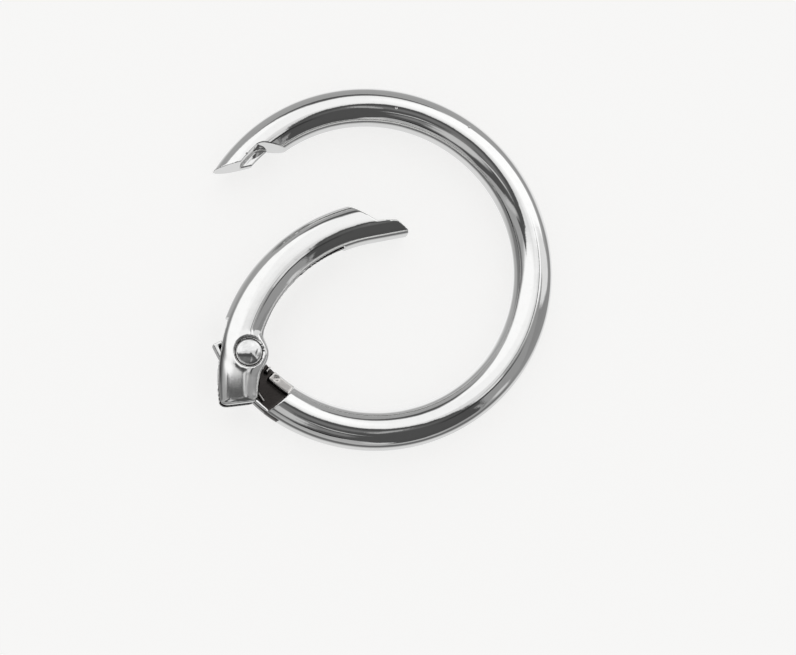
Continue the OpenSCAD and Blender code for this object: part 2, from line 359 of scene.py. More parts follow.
@dataclass(frozen=True)
class RingPlan:
    """Sizes that both castings share, in millimetres and degrees."""

    ring_r: float = 14.2
    bar_r: float = 1.7
    pivot_r: float = 13.3
    pivot_deg: float = 216.3
    gate_span: float = 72.5
    gate_open: float = 45.0
    seat_reach: float = 5.0
    tongue_half: float = 0.8
    slot_half: float = 0.88
    tip_gap: float = 0.3
    tongue_reach: float = 2.1
    joint_lean: float = 52.0
    joint_gap: float = 0.45
    lip_top_r: float = 13.8
    lip_reach: float = 2.4
    lip_tip_at: float = 12.8
    lip_tip_r: float = 0.35
    lip_gap: float = 0.5
    ledge_z: float = -0.8
    ledge_w: float = 0.7
    ledge_gap: float = 0.22
    rivet_r: float = 0.65
    head_r: float = 1.13
    recess_z: float = 1.28

    @property
    def outer_r(self) -> float:
        """Outer radius of the ring."""
        return self.ring_r + self.bar_r

    @property
    def inner_r(self) -> float:
        """Inner radius of the ring."""
        return self.ring_r - self.bar_r

    @property
    def pivot(self) -> Point:
        """Plan place of the hinge."""
        return at(self.pivot_r, self.pivot_deg)

    @property
    def joint_deg(self) -> float:
        """Angle of the nose's slanted face."""
        return self.pivot_deg - self.gate_span

    @property
    def joint_dir(self) -> float:
        """Direction, in degrees, of the slanted face in plan, outward."""
        return self.joint_deg + self.joint_lean

    @property
    def tip_deg(self) -> float:
        """Angle of the tongue's tip."""
        return self.pivot_deg - self.along(self.tongue_reach)

    @property
    def lip_deg(self) -> float:
        """Angle of the centre of the lip's rounded tip, gate shut."""
        return self.joint_deg - self.along(self.lip_reach)

    @property
    def lip_tip(self) -> Point:
        """Centre of the lip's rounded tip, gate shut."""
        return at(self.lip_tip_at, self.lip_deg)

    @property
    def notch_r(self) -> float:
        """Radius of the notch's seat."""
        return self.lip_top_r + self.lip_gap

    @property
    def ledge_r(self) -> float:
        """Radius of the ledge's edge."""
        return self.notch_r - self.ledge_w

    def along(self, length: float) -> float:
        """Returns the angle that a length along the bar's centre line covers."""
        return math.degrees(length / self.ring_r)


PLAN = RingPlan()


@dataclass
class Body:
    """The fixed casting: long arc of round bar, nose with its notch, and the tongue with its pocket."""

    gap_from: float = 165.0
    gap_to: float = 195.0
    seat_arc_r: float = 6.2
    tongue_drop: float = 0.4
    drop_half: float = 1.2
    floor_z: float = -0.38
    pocket_top: float = 1.3
    eye_r: float = 1.6
    hole_gap: float = 0.04
    rim: float = 0.36
    tip_wall: float = 0.3
    tip_wall_start: float = 0.5
    block_r: float = 13.45
    block_inner_r: float = 12.0
    block_clear_r: float = 2.7
    block_round: float = 0.4
    block_over: float = 4.0
    rib_r: float = 2.1
    rib_t: float = 0.15
    rib_start: float = 2.0
    dimple_r: float = 0.3
    dimple_up: float = 0.16
    dimple_in: float = 0.48
    dimple_on: float = 0.95
    notch_round: float = 1.1
    notch_over: float = 12.0
    notch_swing: float = 14.0
    notch_end: float = 130.0
    ledge_over: float = 0.2
    flat_r: float = 14.6
    flat_over: float = 1.2
    rings: int = 256
    nose_ring: int = 87
    tongue_ring: int = 176
    spare_deg: float = 2.0
    lap_deg: float = 0.3
    skin_face: float = 0.056
    nose_rounds: int = 7
    tongue_rounds: int = 5
    piece: Optional[Solid] = field(default=None, init=False)

    def build(self) -> Solid:
        """Builds the casting and returns it."""
        bar = Bench.add(
            bpy.ops.mesh.primitive_torus_add,
            major_segments=self.rings, minor_segments=80,
            major_radius=PLAN.ring_r * MM, minor_radius=PLAN.bar_r * MM,
        )
        tongue = Bench.copy(bar)
        self._open_gap(tongue)
        nose = Bench.copy(tongue)
        first, last = self.cuts
        for end, start, stop in (
            (nose, first - self.spare_deg, self.gap_from), (tongue, self.gap_to, last + self.spare_deg)
        ):
            Bench.join(end, Join.KEEP, Bench.prism(sector(start, stop), BEYOND))
        self._cut_notch(nose)
        self._cut_tongue(tongue)
        self._cut_pocket(tongue)
        Bench.soften(nose, self.skin_face, self.nose_rounds)
        Bench.soften(tongue, self.skin_face, self.tongue_rounds)
        Bench.slice(nose, first - self.lap_deg, True)
        Bench.slice(tongue, last + self.lap_deg, False)
        self.piece = Bench.polish(self._close_ring(bar, nose, tongue), "body_casting", merge=1e-5)
        return self.piece

    def _close_ring(self, bar: Solid, nose: Solid, tongue: Solid) -> Solid:
        """Joins the two softened ends to the long arc of plain bar.

        Args:
            bar: the whole ring of plain bar.
            nose: the end with the notch.
            tongue: the end with the pocket.

        Returns:
            The bar, now with both ends.
        """
        (first, last), near = self.cuts, 0.1
        Bench.edit(
            bar, bpy.ops.mesh.delete, lambda v: first + near < heading(v.xy) % 360 < last - near, type="VERT"
        )
        for cut in (first, last):
            Bench.edit(bar, bpy.ops.mesh.edge_face_add, lambda v: abs(heading(v.xy) % 360 - cut) < near)
        for part in (bar, nose, tongue):
            Bench.polish(part, "part")
        Bench.take(bar)
        nose.select_set(True)
        tongue.select_set(True)
        bpy.ops.object.join()
        return bar

    def _near_hinge(self, place: Vector) -> bool:
        """Tells whether a place is about as far from the pivot as the tongue reaches."""
        return math.dist(place.xy, PLAN.pivot) < PLAN.seat_reach + self.flat_over

    def on_tongue(self, place: Vector, normal: Vector) -> bool:
        """Tells whether a face is on the tongue's flat front or back, or in its dimple.

        Args:
            place: the face's centre.
            normal: the way it faces.
        """
        flat = PLAN.tongue_half - 0.2 < abs(place.z) < PLAN.tongue_half + 0.02 and abs(normal.z) > 0.75
        return flat and self._near_hinge(place) and place.xy.length < self.flat_r

    def in_painted_shade(self, place: Vector, normal: Vector) -> bool:
        """Tells whether a face lies down in the pocket or in the rivet's hole, where shade is painted as
        near-black plating.

        Args:
            place: the face's centre.
            normal: the way it faces.
        """
        plan, above = place.xy, place.z - self.floor_z
        on_floor, in_dimple = above < 0.05, math.dist(plan, self.dimple) <= self.dimple_r + 0.04
        inside = above > -0.03 and place.z < PLAN.tongue_half - 0.06 and not in_dimple
        outward = plan.length > math.dist(self.face_centre, CENTRE) + PLAN.outer_r - 0.75
        sunk = on_floor or normal.xy.dot(plan) < 0 or not outward
        bare = plan.length < PLAN.inner_r + 0.25 and above > 0.05
        hole = math.dist(plan, PLAN.pivot) < PLAN.rivet_r + 0.08
        return hole or (self._near_hinge(place) and inside and sunk and not bare)

    @property
    def cuts(self) -> tuple[float, float]:
        """Angles where the plain bar meets the softened nose and the softened tongue end."""
        return 360 * self.nose_ring / self.rings, 360 * self.tongue_ring / self.rings

    @property
    def dimple(self) -> Point:
        """Plan place of the dimple on the tongue."""
        middle = (PLAN.pivot_deg + self.seat_deg) / 2
        return at(PLAN.inner_r + self.dimple_in, middle + PLAN.along(self.dimple_on))

    @property
    def seat_deg(self) -> float:
        """Angle where the full bar begins."""
        return PLAN.pivot_deg + PLAN.along(PLAN.seat_reach)

    @property
    def seat_centre(self) -> Point:
        """Centre of the seat's hollow face."""
        lean = 2 * math.degrees(math.asin(self.seat_arc_r / 2 / PLAN.ring_r))
        return at(PLAN.ring_r, self.seat_deg - lean)

    @property
    def face_centre(self) -> Point:
        """Centre of the tongue's outer face, which drops away from the bar towards its tip."""
        shift = self.tongue_drop / math.sin(math.radians(self.seat_deg - PLAN.tip_deg))
        return at(shift, self.seat_deg + 90)

    def _open_gap(self, piece: Solid) -> None:
        """Cuts the gate's place out of the ring."""
        joint = at(PLAN.ring_r, PLAN.joint_deg)
        face = [shifted(joint, at(reach, PLAN.joint_dir)) for reach in (-4.0, 6.0)]
        outside = [at(OUTSIDE, deg) for deg in (self.gap_from, self.gap_to, PLAN.tip_deg)]
        outline = face + outside + [at(INSIDE, PLAN.tip_deg)]
        Bench.join(piece, Join.CUT, Bench.prism(outline))

    def _cut_tongue(self, piece: Solid) -> None:
        """Thins the hinge end to the tongue, adds its eye and drops its outer face."""
        for span in past(PLAN.tongue_half):
            Bench.join(piece, Join.CUT, Bench.drum(self.seat_centre, self.seat_arc_r, span))
        spare = Bench.drum(self.seat_centre, self.seat_arc_r - SLIVER, (-self.drop_half, self.drop_half))
        Bench.join(spare, Join.CUT, Bench.drum(self.face_centre, PLAN.outer_r, sides=FINE))
        Bench.join(piece, Join.CUT, spare)
        eye = (SLIVER - PLAN.tongue_half, self.floor_z)
        Bench.join(piece, Join.UNITE, Bench.drum(PLAN.pivot, self.eye_r, eye))

    def _inner_wall(self) -> Solid:
        """Returns the wall along the pocket's inner side, rounded round the pivot."""
        radii = (self.block_r, self.block_inner_r)
        near, far = (PLAN.pivot_deg + opposite(self.block_clear_r, r, PLAN.pivot_r) for r in radii)
        corner = at(self.block_r, near)
        turns = heading(corner, PLAN.pivot), heading(at(self.block_inner_r, far), PLAN.pivot)
        end = self.seat_deg + self.block_over
        outline = (
            arc(CENTRE, self.block_r, end, near, 24)
            + arc(PLAN.pivot, self.block_clear_r, *turns, 10)[1:]
            + arc(CENTRE, self.block_inner_r, far, end, 24)[1:]
        )
        wall = Bench.prism(outline)
        Bench.edit(
            wall, bpy.ops.mesh.bevel, lambda v: math.dist(v.xy / MM, corner) < 0.05,
            offset=self.block_round * MM, segments=8, affect="EDGES", clamp_overlap=True,
        )
        return wall

    def _rib(self) -> Solid:
        """Returns the thin rib between the coil and the inner wall."""
        rib = Bench.drum(PLAN.pivot, self.rib_r + self.rib_t, sides=160)
        Bench.join(rib, Join.CUT, Bench.drum(PLAN.pivot, self.rib_r, BEYOND, 160))
        side = Bench.prism(sector(PLAN.pivot_deg + self.rib_start, self.seat_deg), BEYOND)
        return Bench.join(rib, Join.KEEP, Bench.drum(CENTRE, PLAN.pivot_r - self.rib_t, BEYOND), side)

    def _cut_pocket(self, piece: Solid) -> None:
        """Cuts the spring's pocket, leaving rim, tip wall, inner wall and rib, then dimple and rivet hole."""
        heights = self.floor_z, self.pocket_top
        pocket = Bench.drum(self.face_centre, PLAN.outer_r - self.rim, heights, FINE)
        seat = Bench.drum(self.seat_centre, self.seat_arc_r - 2 * SLIVER)
        side = Bench.prism(sector(PLAN.tip_deg + PLAN.along(self.tip_wall), self.seat_deg + 8))
        Bench.join(pocket, Join.KEEP, seat, side)
        Bench.join(pocket, Join.CUT, self._inner_wall(), self._rib())
        opening = sector(PLAN.tip_deg - 5, PLAN.pivot_deg, PLAN.ring_r + self.tip_wall_start, 24)
        dimple = Bench.add(
            bpy.ops.mesh.primitive_uv_sphere_add,
            segments=48, ring_count=24, radius=self.dimple_r * MM,
            location=Vector((*self.dimple, PLAN.tongue_half + self.dimple_up)) * MM,
        )
        hole = Bench.drum(PLAN.pivot, PLAN.rivet_r + self.hole_gap, sides=SMALL)
        Bench.join(piece, Join.CUT, pocket, Bench.prism(opening, heights), dimple, hole)

    def _cut_notch(self, piece: Solid) -> None:
        """Cuts the notch that the lip swings into, with the ledge left at the back."""
        wall_r = math.dist(PLAN.lip_tip, PLAN.pivot) + PLAN.lip_tip_r + PLAN.lip_gap
        mid_r = PLAN.notch_r - self.notch_round
        mid = at(mid_r, PLAN.pivot_deg - opposite(wall_r - self.notch_round, mid_r, PLAN.pivot_r))
        start, wall_deg = PLAN.joint_deg + self.notch_over, heading(mid, PLAN.pivot)
        outline = (
            arc(CENTRE, PLAN.notch_r, start, heading(mid), 30)
            + arc(mid, self.notch_round, heading(mid), wall_deg, 14)[1:]
            + arc(PLAN.pivot, wall_r, wall_deg, wall_deg - self.notch_swing, 24)[1:]
            + [at(INSIDE, self.notch_end), at(INSIDE, start)]
        )
        back = Bench.prism(outline, (THROUGH[0], PLAN.ledge_z + self.ledge_over))
        Bench.join(back, Join.KEEP, Bench.drum(CENTRE, PLAN.ledge_r, BEYOND, FINE))
        Bench.join(piece, Join.CUT, Bench.prism(outline, (PLAN.ledge_z, THROUGH[1])), back)


@dataclass
class Gate:
    """The swinging casting: tail with two cheeks and ears, channel, web and half-lap lip."""

    proud: float = 0.3
    lead: float = 0.95
    span_steps: int = 180
    lead_steps: int = 9
    lead_step: float = 0.6
    tail_gap: float = 0.5
    tail_round: float = 0.45
    tail_extra: float = 0.4
    tail_back: float = 0.25
    tail_thin: float = 0.16
    tail_bow_deg: float = 6.0
    ear_r: float = 1.77
    ear_half: float = 1.45
    ear_round: float = 0.78
    ear_fillet: float = 0.6
    ear_zone: float = 3.4
    web_r: float = 14.9
    slot_deg: float = 60.0
    channel_half: float = 0.85
    channel_len: float = 11.8
    joint_round: float = 1.0
    lip_slope: float = 33.0
    step_gap: float = 0.08
    seat_gap: float = 0.15
    hole_gap: float = 0.01
    skin_face: float = 0.07
    skin_rounds: int = 7
    piece: Optional[Solid] = field(default=None, init=False)

    def build(self) -> Solid:
        """Builds the gate, swings it open and returns it."""
        piece = self._bar()
        self._cut_slot_and_channel(piece)
        self._cut_nose(piece)
        self._cut_rivet_seats(piece)
        Bench.soften(piece, self.skin_face, self.skin_rounds)
        hinge = Matrix.Translation(Vector((*PLAN.pivot, 0)) * MM)
        piece.matrix_world = hinge @ Matrix.Rotation(-math.radians(PLAN.gate_open), 4, "Z") @ hinge.inverted()
        self.piece = Bench.polish(Bench.settle(piece), "gate_casting")
        return self.piece

    def in_painted_shade(self, place: Vector, normal: Vector) -> bool:
        """Tells whether a face lies in the slot, the channel or the rivet's seats, where shade is painted as
        near-black plating.

        Args:
            place: the face's centre, gate open.
            normal: the way it faces.
        """
        seat = math.dist(place.xy, PLAN.pivot) < PLAN.head_r + 0.06 and abs(place.z) < PLAN.recess_z + 0.03
        level = abs(normal.z) > 0.985
        return seat or (abs(place.z) < PLAN.slot_half + 0.02 and (level or self._hollow(place, normal)))

    def _hollow(self, place: Vector, normal: Vector) -> bool:
        """Tells whether an upright face looks into the slot or the channel.

        Args:
            place: the face's centre, gate open.
            normal: the way it faces.
        """
        hub, turn = Vector(PLAN.pivot), Matrix.Rotation(math.radians(PLAN.gate_open), 2)
        shut = hub + turn @ (place.xy - hub)
        beside = PLAN.tip_deg - self.slot_deg < heading(shut) % 360 < self.tail_deg + 2
        return beside and 13 < shut.length < self.web_r + 0.3 and (turn @ normal.xy).dot(shut) < -0.5

    @property
    def tail_deg(self) -> float:
        """Angle of the tail's end."""
        return PLAN.pivot_deg + PLAN.along(PLAN.seat_reach - self.tail_gap)

    @property
    def web_deg(self) -> float:
        """Angle where the web ends and the slot begins."""
        return PLAN.tip_deg - PLAN.along(PLAN.tip_gap)

    def _bar(self) -> Solid:
        """Returns the gate's bar: section spun round the ring, straight lead, and a rounded tail."""
        mid = PLAN.ring_r * MM
        bar = Bench.add(
            bpy.ops.mesh.primitive_circle_add,
            vertices=SMALL, radius=PLAN.bar_r * MM, location=(mid, 0, 0), rotation=(math.pi / 2, 0, 0),
        )
        Bench.edit(
            bar, bpy.ops.transform.translate, lambda v: v.x < mid - 1e-7, value=(-self.proud * MM, 0, 0)
        )
        start_deg = self.tail_deg - PLAN.along(self.tail_round)
        span = math.radians(start_deg - (PLAN.joint_deg + PLAN.along(self.lead)))
        Bench.spin(bar, self.span_steps, span)
        self._straighten(bar, -span)
        self._close_tail(bar)
        bar.rotation_euler.z = math.radians(start_deg)
        self._shape_tail(Bench.settle(bar))
        Bench.edit(bar, bpy.ops.mesh.normals_make_consistent, inside=False)
        self._swell_ears(bar)
        return bar

    def _straighten(self, bar: Solid, turn: float) -> None:
        """Runs the bar straight on from its lead end.

        Args:
            bar: the spun bar.
            turn: angle of its lead end, in radians.
        """
        normal = Vector((math.sin(turn), -math.cos(turn), 0))

        def run() -> None:
            """Extrudes the end loop in equal steps and closes it."""
            for _ in range(self.lead_steps):
                Bench.extrude(normal * self.lead_step)
            bpy.ops.mesh.edge_face_add()

        end = Vector((math.cos(turn), math.sin(turn), 0))
        Bench.edit(bar, run, lambda v: abs(v.dot(normal)) < 1e-6 and v.dot(end) > 0)

    def _close_tail(self, bar: Solid) -> None:
        """Closes the tail's end with a rounded edge."""
        half_w = PLAN.bar_r + self.proud / 2
        mid = (PLAN.ring_r - self.proud / 2) * MM

        def cap() -> None:
            """Extrudes the end loop along a quarter circle and fills it."""
            steps = 8
            w = h = 1.0
            gone = 0.0
            for i in range(1, steps + 1):
                turn = math.radians(90 * i / steps)
                reach = self.tail_round * math.sin(turn)
                inset = self.tail_round * (1 - math.cos(turn))
                Bench.extrude((0, reach - gone, 0))
                new_w = 1 - inset / half_w
                new_h = 1 - inset / PLAN.bar_r
                bpy.ops.transform.resize(value=(new_w / w, 1, new_h / h), center_override=(mid, 0, 0))
                w, h, gone = new_w, new_h, reach
            bpy.ops.mesh.edge_face_add()

        Bench.edit(bar, cap, lambda v: abs(v.y) < 1e-6 and v.x > 0)

    def _shape_tail(self, bar: Solid) -> None:
        """Bows the tail's inside inward past the pivot, and lets its front and back fall away to its end."""
        mid = PLAN.ring_r - 0.1
        first, top = PLAN.pivot_deg - self.tail_bow_deg, PLAN.pivot_deg + self.tail_bow_deg
        last = self.tail_deg
        for vert in bar.data.vertices:
            place = vert.co / MM
            deg, radius = heading(place.xy) % 360, place.xy.length
            if radius < mid:
                share = (mid - radius) / (mid - PLAN.inner_r + self.proud)
                bow = self.tail_extra * self._ease(deg, first, top)
                bow -= self.tail_back * self._ease(deg, top, last)
                place.xy *= 1 - bow * min(share * 1.6, 1.0) / radius
            beyond = min(max((deg - top) / (last - top), 0.0), 1.3)
            place.z *= 1 - self.tail_thin / PLAN.bar_r * beyond**2
            vert.co = place * MM

    @staticmethod
    def _ease(value: float, low: float, high: float) -> float:
        """Returns 0 below low, 1 above high and a smooth rise between them."""
        share = min(max((value - low) / (high - low), 0.0), 1.0)
        return share * share * (3 - 2 * share)

    def _swell_ears(self, bar: Solid) -> None:
        """Swells the bar out to the ears' round rims, with a soft fillet where they meet."""
        hub = Vector((*PLAN.pivot, 0)) * MM
        near = [vert for vert in bar.data.vertices if (vert.co - hub).length < self.ear_zone * MM]
        places = [self._fillet(vert.co / MM, vert.normal.copy()) * MM for vert in near]
        for vert, place in zip(near, places):
            vert.co = place

    def _fillet(self, place: Vector, normal: Vector) -> Vector:
        """Steps in from outside, along a point's normal, until it lies on the filleted ears.

        Args:
            place: a point of the bar.
            normal: the way out of the bar there.

        Returns:
            Where the point goes, which is never inside the bar.
        """
        reach = 1.5
        for _ in range(60):
            apart = self._ear_gap(place + normal * reach)
            soft = max(self.ear_fillet - abs(reach - apart), 0.0)
            gap = min(reach, apart) - soft * soft / self.ear_fillet / 4
            if gap < 1e-4:
                break
            reach -= gap * 0.7
        return place + normal * max(reach, 0.0)

    def _ear_gap(self, place: Vector) -> float:
        """Returns a point's distance from the ears' round rims."""
        side = math.dist(place.xy, PLAN.pivot) - self.ear_r + self.ear_round
        up = abs(place.z) - self.ear_half + self.ear_round
        return min(max(side, up), 0.0) + math.hypot(max(side, 0.0), max(up, 0.0)) - self.ear_round

    def _cut_slot_and_channel(self, piece: Solid) -> None:
        """Cuts the tongue's slot between the cheeks and the channel under the web."""
        web = self.web_deg
        slot = sector(web, web + self.slot_deg)
        channel = sector(web - PLAN.along(self.channel_len), web + 1, self.web_r, 120)
        for outline, half in ((slot, PLAN.slot_half), (channel, self.channel_half)):
            Bench.join(piece, Join.CUT, Bench.prism(outline, (-half, half)))

    def _cut_nose(self, piece: Solid) -> None:
        """Cuts the slanted face, its rounded corner, the lip and the lip's step at the back."""
        foot = shifted(at(PLAN.ring_r, PLAN.joint_deg), at(PLAN.joint_gap, PLAN.joint_dir + 90))
        spare = panel(foot, PLAN.joint_dir, -9, 9, -9)
        slope = PLAN.lip_deg - 90 - self.lip_slope
        top = shifted(PLAN.lip_tip, at(PLAN.lip_tip_r, slope + 90))
        lip = Bench.drum(CENTRE, PLAN.lip_top_r, BEYOND, FINE)
        Bench.join(lip, Join.KEEP, Bench.prism(panel(top, slope, 0, -8, -9), FARTHER))
        Bench.join(lip, Join.UNITE, Bench.drum(PLAN.lip_tip, PLAN.lip_tip_r, FARTHER, 64))
        cutter = Bench.join(Bench.prism(spare), Join.CUT, lip)
        step = Bench.prism(spare, (THROUGH[0], PLAN.ledge_z + self.step_gap))
        Bench.join(step, Join.CUT, Bench.drum(CENTRE, PLAN.ledge_r - PLAN.ledge_gap, BEYOND, FINE))
        Bench.join(piece, Join.CUT, cutter, step)
        self._round_joint_corner(piece, foot)

    def _round_joint_corner(self, piece: Solid, foot: Point) -> None:
        """Rounds the outer corner at the slanted face.

        Args:
            piece: the gate.
            foot: a point on the slanted face.
        """
        across, ray = at(self.joint_round, PLAN.joint_dir + 90), at(1, PLAN.joint_dir)
        start = shifted(foot, across)
        along = start[0] * ray[0] + start[1] * ray[1]
        reach = PLAN.outer_r - self.joint_round
        run = math.sqrt(along**2 - start[0] ** 2 - start[1] ** 2 + reach**2) - along
        centre = shifted(start, ray, run)
        touch = shifted(centre, across, -1)
        outline = (
            arc(centre, self.joint_round, heading(centre), heading(touch, centre), 20)
            + [shifted(touch, ray, 4), at(PLAN.outer_r + 2, heading(centre))]
        )
        Bench.join(piece, Join.CUT, Bench.prism(outline))

    def _cut_rivet_seats(self, piece: Solid) -> None:
        """Cuts the recesses of the rivet's heads and the hole for its shank."""
        for span in past(PLAN.recess_z):
            Bench.join(piece, Join.CUT, Bench.drum(PLAN.pivot, PLAN.head_r + self.seat_gap, span, 160))
        Bench.join(piece, Join.CUT, Bench.drum(PLAN.pivot, PLAN.rivet_r + self.hole_gap, sides=SMALL))


@dataclass
class Rivet:
    """The hinge rivet: straight shank with a shallow domed head at each end."""

    head_r: float = 1.1
    dome_r: float = 3.6
    top: float = 1.68
    under: float = 1.3
    edge: float = 0.2
    middle: float = 0.02
    piece: Optional[Solid] = field(default=None, init=False)

    def build(self) -> Solid:
        """Builds the rivet and returns it."""
        half = self._half_profile()
        profile = half + [(x, -z) for x, z in reversed(half)]
        piece = Bench.drawn([(x, 0, z) for x, z in profile], "NOTHING")
        Bench.edit(piece, bpy.ops.mesh.delete, lambda v: v.x < 1e-9, type="EDGE")
        Bench.spin(piece, SMALL, math.tau)
        piece.location = Vector((*PLAN.pivot, 0)) * MM
        self.piece = Bench.polish(Bench.settle(piece), "hinge_rivet", 35)
        return self.piece

    def _half_profile(self) -> list[Point]:
        """Returns the upper half of the profile, from the middle of the dome down to the shank."""
        lean = math.degrees(math.asin((self.head_r - self.edge) / self.dome_r))
        top = arc((0, self.top - self.dome_r), self.dome_r, 90, 90 - lean, 18)
        rim = arc((self.head_r - self.edge, top[-1][1] - self.edge), self.edge, 90 - lean, 0, 6)[1:]
        shank = [(PLAN.rivet_r, self.under), (PLAN.rivet_r, self.middle)]
        return top + rim + [(self.head_r, self.under)] + shank


@dataclass
class Spring:
    """The coil spring round the rivet, with one leg in the body and one in the gate."""

    wire_r: float = 0.16
    coil_r: float = 1.18
    coil_steps: int = 150
    sweep: float = 775.0
    low: float = -0.18
    pitch: float = 0.36
    body_leg: float = 4.0
    gate_leg: float = 5.0
    leg_steps: int = 12
    piece: Optional[Solid] = field(default=None, init=False)

    def build(self) -> Solid:
        """Builds the spring as one swept wire and returns it."""
        path = self._path()
        wire = Bench.add(bpy.ops.curve.primitive_nurbs_path_add)
        curve = wire.data
        curve.splines.clear()
        line = curve.splines.new("POLY")
        line.points.add(len(path) - 1)
        for point, place in zip(line.points, path):
            point.co = (*(Vector(place) * MM), 1)
        curve.dimensions = "3D"
        curve.bevel_depth = self.wire_r * MM
        curve.bevel_resolution = 6
        curve.use_fill_caps = True
        Bench.take(wire)
        bpy.ops.object.convert(target="MESH")
        self.piece = Bench.polish(Bench.settle(bpy.context.object), "coil_spring", 50)
        return self.piece

    @property
    def ends(self) -> tuple[Place, Place]:
        """Points, in metres, on the hinge's axis at the foot and at the top of the coil."""
        top = self.low + self.pitch * self.sweep / 360
        x, y = PLAN.pivot
        return (x * MM, y * MM, self.low * MM), (x * MM, y * MM, top * MM)

    def _path(self) -> list[Place]:
        """Returns the wire's centre line, from the body's leg to the gate's."""
        coil = []
        for i in range(self.coil_steps + 1):
            swept = self.sweep * i / self.coil_steps
            flat = shifted(PLAN.pivot, at(self.coil_r, PLAN.pivot_deg - swept))
            coil.append((*flat, self.low + self.pitch * swept / 360))
        first = self._leg(coil[0], PLAN.pivot_deg + 90, self.body_leg)
        last = self._leg(coil[-1], PLAN.pivot_deg - self.sweep - 90, self.gate_leg)
        return first[::-1] + coil + last

    def _leg(self, start: Place, deg: float, length: float) -> list[Place]:
        """Returns the points of a straight leg.

        Args:
            start: where it leaves the coil.
            deg: its direction, in degrees.
            length: its length.
        """
        steps = range(1, self.leg_steps + 1)
        return [(*shifted(start[:2], at(1, deg), length * i / self.leg_steps), start[2]) for i in steps]


class Graph:
    """Short ways to write a node tree."""

    def __init__(self, tree: Tree) -> None:
        """Takes the tree to write into."""
        self.tree = tree

    def feed(self, node: Node, sources: dict[object, object]) -> Node:
        """Links a node's inputs to sockets, or sets their values.

        Args:
            node: the node.
            sources: a socket or value for each input, by name or number; None leaves it alone.

        Returns:
            The same node.
        """
        for key, source in sources.items():
            if isinstance(source, Socket):
                self.tree.links.new(source, node.inputs[key])
            elif source is not None:
                node.inputs[key].default_value = source
        return node

    def add(self, kind: str, sources: Optional[dict[object, object]] = None, **settings: object) -> Node:
        """Adds a node.

        Args:
            kind: node type, without its ShaderNode prefix.
            sources: what its inputs are fed with.
            settings: attributes to set on it.
        """
        node = self.tree.nodes.new("ShaderNode" + kind)
        for name, value in settings.items():
            setattr(node, name, value)
        return self.feed(node, sources or {})

    def math(self, how: str, *terms: object) -> Socket:
        """Returns the result of a sum on plain numbers or sockets."""
        return self.add("Math", dict(enumerate(terms)), operation=how).outputs[0]

    def vector(self, how: str, *terms: object, scale: object = None) -> Socket:
        """Returns the vector that a sum on vectors gives."""
        return self.add("VectorMath", {**dict(enumerate(terms)), 3: scale}, operation=how).outputs["Vector"]

    def size(self, vector: object) -> Socket:
        """Returns a vector's length."""
        return self.add("VectorMath", {0: vector}, operation="LENGTH").outputs["Value"]

    def ramp(self, value: object, low: object, high: object) -> Socket:
        """Returns 0 at low, 1 at high and a smooth rise between them."""
        limits = {"Value": value, "From Min": low, "From Max": high}
        return self.add("MapRange", limits, interpolation_type="SMOOTHSTEP", clamp=True).outputs["Result"]

    def blend(self, share: object, a: object, b: object) -> Socket:
        """Returns a number between a and b."""
        return self.add("Mix", {0: share, 2: a, 3: b}, data_type="FLOAT").outputs[0]

    def tint(self, share: object, a: object, b: object) -> Socket:
        """Returns a colour between a and b."""
        return self.add("Mix", {0: share, 6: a, 7: b}, data_type="RGBA").outputs[2]

    def noise(self, place: object, scale: object, detail: float, roughness: float = 0.5) -> Outputs:
        """Returns soft noise round 0.5, as a number and as a colour."""
        settings = {"Vector": place, "Scale": scale, "Detail": detail, "Roughness": roughness}
        return self.add("TexNoise", settings).outputs

    def close(self, results: dict[object, object]) -> Tree:
        """Feeds a group's results and returns the group."""
        self.feed(self.tree.nodes.new("NodeGroupOutput"), results)
        return self.tree

    @staticmethod
    def group(name: str, inputs: dict[str, str], outputs: Sequence[str]) -> tuple["Graph", Outputs]:
        """Starts a node group.

        Args:
            name: the group's name.
            inputs: socket names and types.
            outputs: names of the numbers that it gives.

        Returns:
            Its graph, and what it is given.
        """
        tree = bpy.data.node_groups.new(name, "ShaderNodeTree")
        for way, sockets in (("INPUT", inputs), ("OUTPUT", dict.fromkeys(outputs, "Float"))):
            for label, kind in sockets.items():
                tree.interface.new_socket(label, in_out=way, socket_type="NodeSocket" + kind)
        return Graph(tree), tree.nodes.new("NodeGroupInput").outputs


